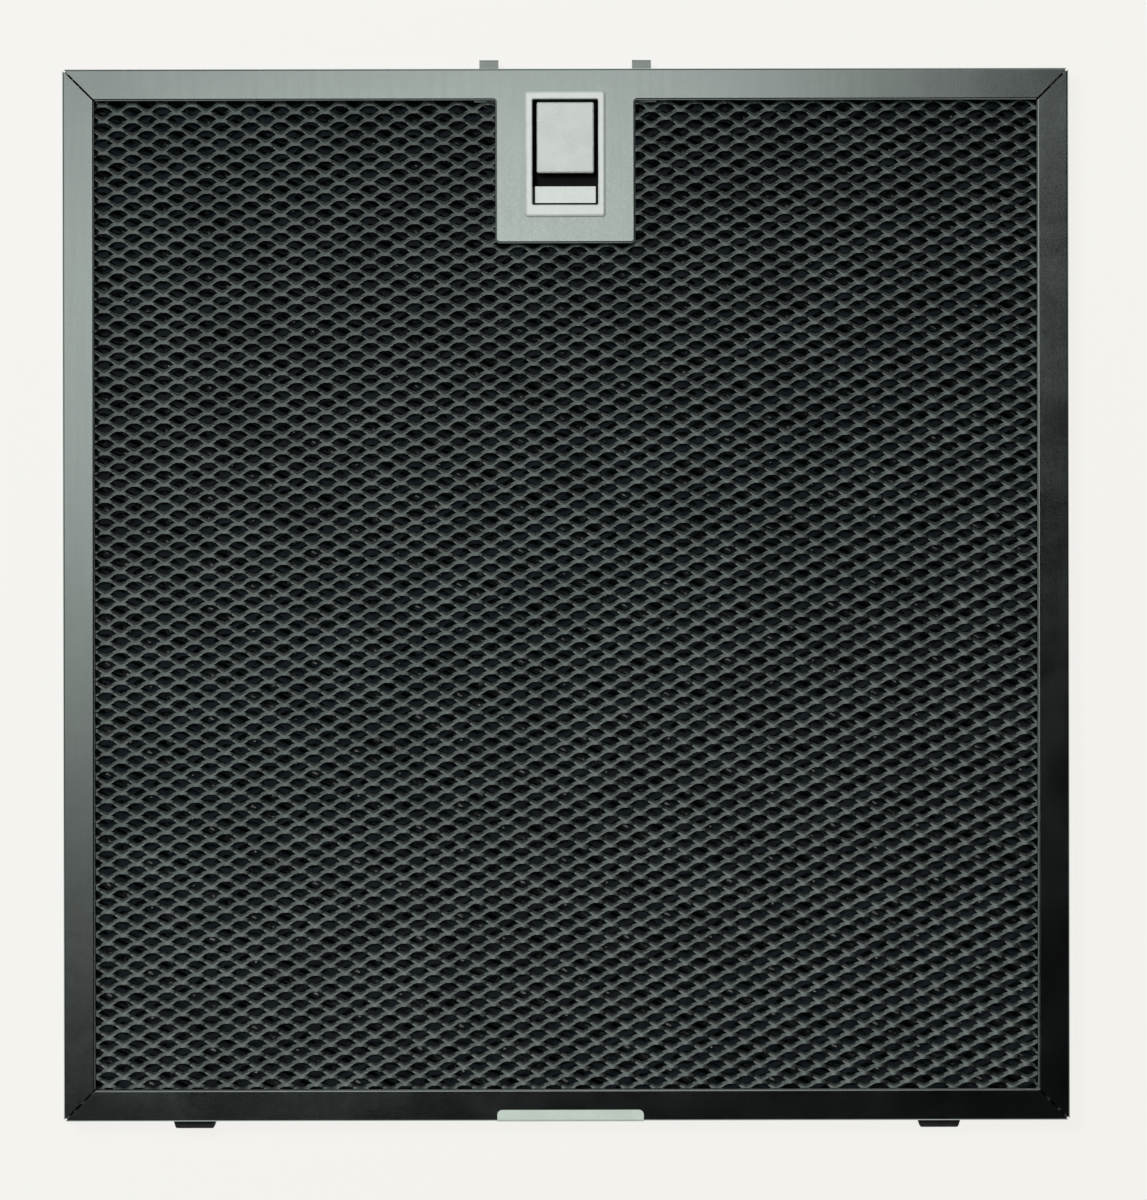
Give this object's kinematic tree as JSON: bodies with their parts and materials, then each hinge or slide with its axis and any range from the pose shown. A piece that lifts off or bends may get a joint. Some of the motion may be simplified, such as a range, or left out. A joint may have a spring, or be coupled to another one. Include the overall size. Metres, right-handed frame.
{
  "type": "cooker hood filter",
  "caption": "Flat rectangular metal grease filter for a cooker hood: mitred sheet frame, expanded mesh pack, sprung finger latch and locating tabs.",
  "frame": {"origin": "middle of the frame's back face, on the surface it lies on", "axes": "+X along the short side, +Y along the long side towards the latch, +Z out of the front face"},
  "size_m": [0.306, 0.3259, 0.0099],
  "materials": {
    "frame_sheet": "satin rolled sheet, faintly green-grey",
    "bracket_steel": "plain plated strip",
    "mesh_metal": "bare expanded sheet, satin",
    "inner_mesh_metal": "expanded sheet in the dark of the pack",
    "latch_silver": "bright satin silver, fine mottle",
    "carrier_plastic": "moulded black plastic",
    "yoke_metal": "die cast, satin",
    "fastener_steel": "plated",
    "spring_steel": "drawn spring wire",
    "tab_plastic": "moulded dark grey plastic",
    "label_paper": "pale coated label, bare"
  },
  "bodies": {
    "filter": {"top_rail": "frame_sheet", "bottom_rail": "frame_sheet", "left_rail": "frame_sheet", "right_rail": "frame_sheet", "corner_bracket_top_left": "bracket_steel", "corner_bracket_top_right": "bracket_steel", "corner_bracket_bottom_left": "bracket_steel", "corner_bracket_bottom_right": "bracket_steel", "front_mesh": "mesh_metal", "back_mesh": "mesh_metal", "inner_mesh_1": "inner_mesh_metal", "inner_mesh_2": "inner_mesh_metal", "inner_mesh_3": "inner_mesh_metal", "latch_bezel": "latch_silver", "latch_carrier": "carrier_plastic", "cover_rivets": "fastener_steel", "latch_spring_left": "spring_steel", "latch_spring_right": "spring_steel", "latch_back_cover": "frame_sheet", "locating_tab_left": "tab_plastic", "locating_tab_right": "tab_plastic", "label": "label_paper"},
    "latch": {"latch_pad": "latch_silver", "latch_yoke": "yoke_metal", "pad_screw": "fastener_steel"}
  },
  "joints": [
    {"name": "latch_slide", "type": "slide", "parent": "filter", "child": "latch", "axis": [0, -1, 0], "range_m": [0, 0.0036], "stiffness_N_per_m": 300, "springref_m": -0.01, "deforming": ["latch_spring_left", "latch_spring_right"]}
  ]
}
